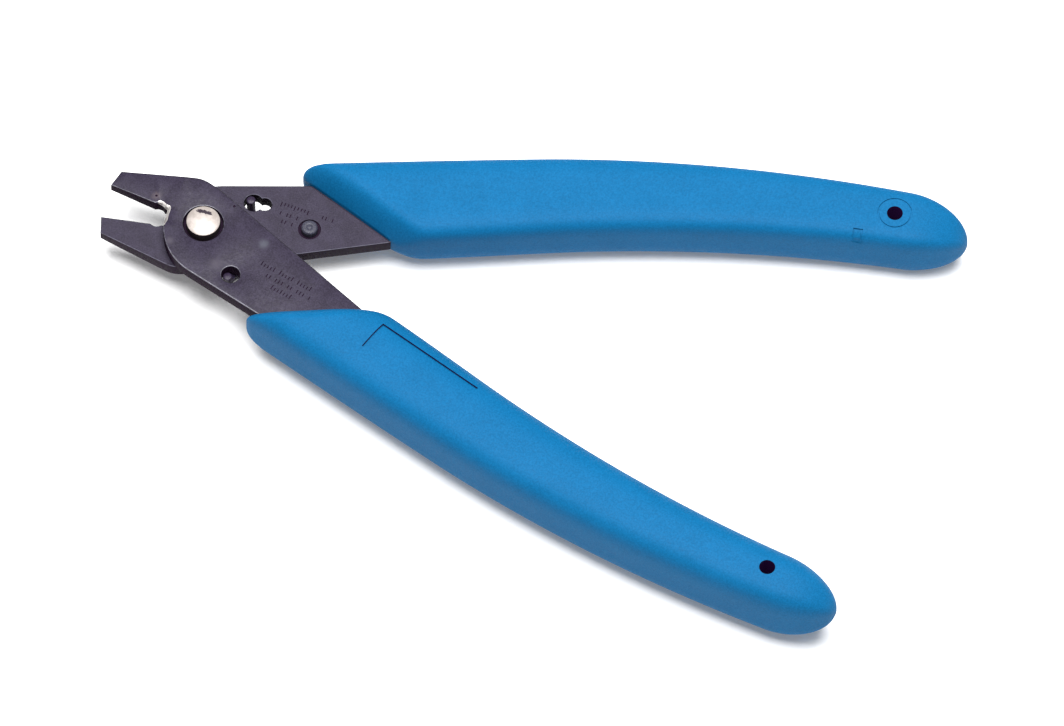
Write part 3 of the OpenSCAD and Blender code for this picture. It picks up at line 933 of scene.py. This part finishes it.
def make_nut():
    """A hexagon cut off by a widening and narrowing circle, which rounds its corners."""
    bm, sides, half = bmesh.new(), 96, NUT_AF / 2
    low, high, no_limit = NUT_LOW, -OUTER - WASHER_T, 9
    rings = []
    for z, limit in ((low, half - 0.02), (low + 0.34, half + 0.42), (low + 0.5, no_limit),
                     (high - 0.12, no_limit), (high, half + 0.38)):
        ring = []
        for k in range(sides):
            a = 2 * math.pi * k / sides
            r = min(limit, half / math.cos(((a + math.pi / 6) % (math.pi / 3)) - math.pi / 6))
            ring.append((r * math.cos(a), r * math.sin(a), z))
        rings.append(ring)
    for r, z in ((NUT_BORE, high), (NUT_BORE, low + 0.3), (NUT_BORE + 0.3, low)):
        rings.append(circle((0, 0), r, z, sides))
    loft(bm, rings + rings[:1], caps=False)
    bmesh.ops.remove_doubles(bm, verts=bm.verts, dist=MERGE)
    pivot_piece("pivot_nut_hex", bm, 22, [plated], ["pivot_nut"])


def make_pin():
    bm = bmesh.new()
    r, h, edge = STOP_D / 2, STOP_H, 0.42
    profile = [(0, -OUTER), (r - 0.2, -OUTER), (r, -OUTER + 0.2), (r, h - edge)]
    for i in range(1, 7):
        a = math.radians(i * 15)
        profile.append((r - 0.38 * (1 - math.cos(a)), h - edge + 0.4 * math.sin(a)))
    # The peened top has a small dimple
    profile += [(r - 0.5, h), (0.62, h), (0.5, h - 0.03), (0.42, h - 0.1), (0.3, h - 0.04), (0.16, h - 0.01),
                (0, h)]
    lathe(bm, profile, 72, turned(stop_place(), HALF_OPEN_DEG))
    pivot_piece("stop_pin_peened", bm, 50, [pin_steel], ["stop_pin"])


make_bolt()
make_washer()
make_nut()
make_pin()


# ---------------------------------------------------------------- return spring
WIRE_D, COIL_R, LEG_ANGLE = 1.5, 2.8, 72.0


def rounded(points, times):
    """Cuts the corners of a path, which keeps its ends."""
    for _ in range(times):
        out = [points[0]]
        for p, q in zip(points, points[1:]):
            out += [p.lerp(q, 0.25), p.lerp(q, 0.75)]
        points = out + [points[-1]]
    return points


def spring_path():
    """From the keyhole down to the coil, round it, and up into the round hole of the top blade."""
    key = turned((SPRING_HOLE[0] + KEY_BIG_DX - 0.55, -SPRING_HOLE[1] + 0.55), HALF_OPEN_DEG)
    hole = turned((SPRING_HOLE[0] - 0.7, SPRING_HOLE[1] + 0.2), -HALF_OPEN_DEG)
    lean = math.radians(LEG_ANGLE)
    coil_x = (key[0] + hole[0]) / 2 + (key[1] - hole[1]) / 2 / math.tan(lean) + COIL_R / math.sin(lean)
    top, drop = -OUTER - 0.12 - WIRE_D / 2, WIRE_D * 1.12
    coil = []
    for i in range(19):
        x, y = on_circle((coil_x, 0), COIL_R, mix(90 + LEG_ANGLE + 36, 360 + 90 + LEG_ANGLE, i / 18))
        coil.append(Vector((x, y, top - drop * smooth(i / 18))))
    corner, leave = Vector((*key, top)), coil[-1]
    leg_a = rounded([Vector((*key, -0.25)), Vector((*key, -1.8)), corner,
                     corner.lerp(coil[0], 0.2), corner.lerp(coil[0], 0.9)], 2)
    low, high = Vector((*hole, leave.z)), Vector((*hole, -1.1))
    leg_b = rounded([leave.lerp(low, 0.08), leave.lerp(low, 0.42),
                     Vector((leave.x, leave.y, -1.1)).lerp(high, 0.82), Vector((*hole, -0.8)),
                     Vector((*hole, 0.2)), Vector((*hole, OUTER - 1.6))], 2)
    return rounded(leg_a + coil + leg_b, 1)


def make_spring():
    path = spring_path()
    n, side, rings = 28, Vector((1, 0, 0)), []
    angles = [2 * math.pi * k / n for k in range(n)]
    for i, p in enumerate(path):
        d = (path[min(i + 1, len(path) - 1)] - path[max(i - 1, 0)]).normalized()
        side = (side - d * side.dot(d)).normalized()
        other = d.cross(side)
        rings.append([p + (side * math.cos(a) + other * math.sin(a)) * WIRE_D / 2 for a in angles])

    def cut_end(centre, before, ring, steps):
        """Slightly rounds a cut end, by steps of (scale, distance out)."""
        out = (centre - before).normalized()
        return [[centre + (q - centre) * f + out * g for q in ring] for f, g in steps]

    steps = ((0.72, 0.1), (0.92, 0.05))
    first = cut_end(path[0], path[1], rings[0], steps)
    last = cut_end(path[-1], path[-2], rings[-1], steps[::-1])
    bm = bmesh.new()
    loft(bm, first + rings + last)
    bmesh.ops.recalc_face_normals(bm, faces=bm.faces)
    sharpen(bm, 50)
    mesh = to_mesh(bm, "return_spring_wire")
    keep_drawn(mesh)
    mesh.transform(PIVOT_FRAME)
    mesh.materials.append(wire_steel)
    obj = show("return_spring_wire", mesh)
    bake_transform(obj)
    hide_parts("return_spring")


make_spring()


# ---------------------------------------------------------------- floor, lights and camera
def make_floor():
    bm = bmesh.new()
    bmesh.ops.create_grid(bm, x_segments=4, y_segments=4, size=2.0)
    mesh = to_mesh(bm, "floor")
    m = bpy.data.materials.new("pale_floor")
    m.use_nodes = True
    shader = m.node_tree.nodes["Principled BSDF"].inputs
    shader["Base Color"].default_value = (0.86, 0.86, 0.86, 1)
    shader["Roughness"].default_value = 0.9
    shader["Specular IOR Level"].default_value = 0.1
    shader["Emission Color"].default_value = (1, 1, 1, 1)
    shader["Emission Strength"].default_value = 0.16
    mesh.materials.append(m)
    show("floor", mesh)


def make_key():
    """A wide soft lamp overhead, turned towards the origin."""
    light = bpy.data.lights.new("key", "AREA")
    light.shape, light.size, light.size_y = "RECTANGLE", 0.95, 0.95
    light.energy = 38.0
    lamp = show("key", light)
    lamp.location = (0.0, 0.06, 1.2)
    lamp.rotation_mode = "QUATERNION"
    lamp.rotation_quaternion = (-Vector(lamp.location)).to_track_quat("-Z", "Y")


make_floor()
make_key()

world = bpy.data.worlds.new("studio")
world.use_nodes = True
background = world.node_tree.nodes["Background"].inputs
background["Color"].default_value = (1, 1, 1, 1)
background["Strength"].default_value = 0.16
bpy.context.scene.world = world
bpy.context.scene.view_settings.view_transform = "Standard"

# The camera, in millimetres from the pivot, with a long lens given as its focal length in pixels of the frame
CAMERA_AT = (419.07553, -1193.73655, 2206.0444)
CAMERA_RIGHT = (0.95277, 0.30356, 0.00851)
CAMERA_UP = (-0.26865, 0.82946, 0.48972)
SENSOR, FOCAL_PIXELS, FRAME_PIXELS = 36.0, 15000, 1064
cam_data = bpy.data.cameras.new("camera")
cam_data.sensor_width, cam_data.lens = SENSOR, SENSOR * FOCAL_PIXELS / FRAME_PIXELS
cam_data.clip_start, cam_data.clip_end = 0.1, 10.0
camera = show("camera", cam_data)
right, up = Vector(CAMERA_RIGHT).normalized(), Vector(CAMERA_UP).normalized()
turn = Matrix((right, up, right.cross(up))).transposed().to_4x4()
camera.matrix_world = Matrix.Translation(PIVOT + Vector(CAMERA_AT) * MM) @ turn
bpy.context.scene.camera = camera
